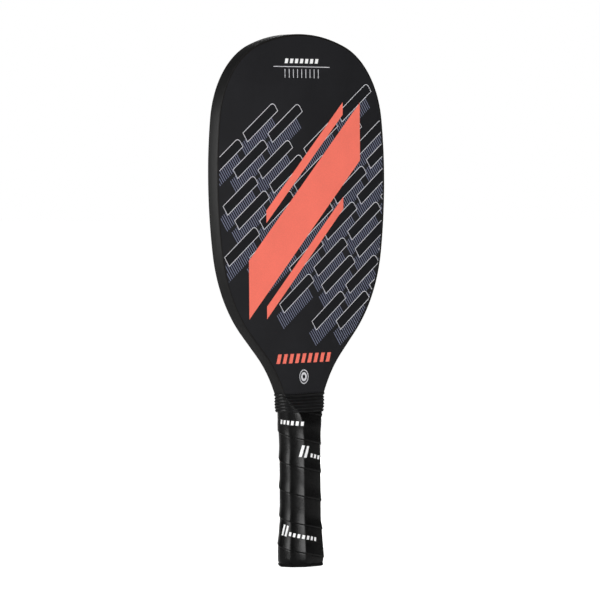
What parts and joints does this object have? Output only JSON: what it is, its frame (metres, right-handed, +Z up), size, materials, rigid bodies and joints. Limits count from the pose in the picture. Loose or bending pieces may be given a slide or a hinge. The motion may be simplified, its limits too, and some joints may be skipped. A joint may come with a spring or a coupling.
{
  "type": "pickleball paddle",
  "caption": "Flat wooden-core pickleball paddle with a rounded wide blade, printed faces, a ribbed rubber collar and an eight-sided wound cushion grip ending in a flared butt",
  "frame": {"origin": "the middle of the butt's end, at the lowest point of the paddle", "axes": "+Z runs up the paddle's length from the butt to the crown, -Y is the front face, and X runs across the blade"},
  "size_m": [0.203, 0.0298, 0.4],
  "materials": {
    "print_film": "matte charcoal film with slate and coral printing",
    "face_veneer": "smooth sanded veneer",
    "cross_ply": "raw rotary-cut ply",
    "long_ply": "raw rotary-cut ply",
    "edge_band": "matte dark grey band with a fine grain",
    "handle_wood": "planed hardwood",
    "cap_plastic": "moulded black plastic",
    "medallion": "plain satin disc",
    "staple_wire": "bright wire",
    "grip_foam": "soft foam",
    "grip_skin": "satin black synthetic leather, wound in overlapping turns",
    "finishing_tape": "thin black tape",
    "collar_rubber": "dark ribbed rubber"
  },
  "bodies": {
    "root": {"front_print_film": "print_film", "front_face_veneer": "face_veneer", "front_cross_ply": "cross_ply", "front_long_ply": "long_ply", "core_ply": "cross_ply", "rear_long_ply": "long_ply", "rear_cross_ply": "cross_ply", "rear_face_veneer": "face_veneer", "rear_print_film": "print_film", "edge_band": "edge_band", "front_handle_scale": "handle_wood", "rear_handle_scale": "handle_wood", "butt_cap": "cap_plastic", "butt_medallion": "medallion", "butt_cap_staples": "staple_wire", "grip_cushion": "grip_foam", "grip_tack": "staple_wire", "grip_wrap": "grip_skin", "finishing_tape": "finishing_tape", "rubber_collar": "collar_rubber"}
  },
  "joints": []
}
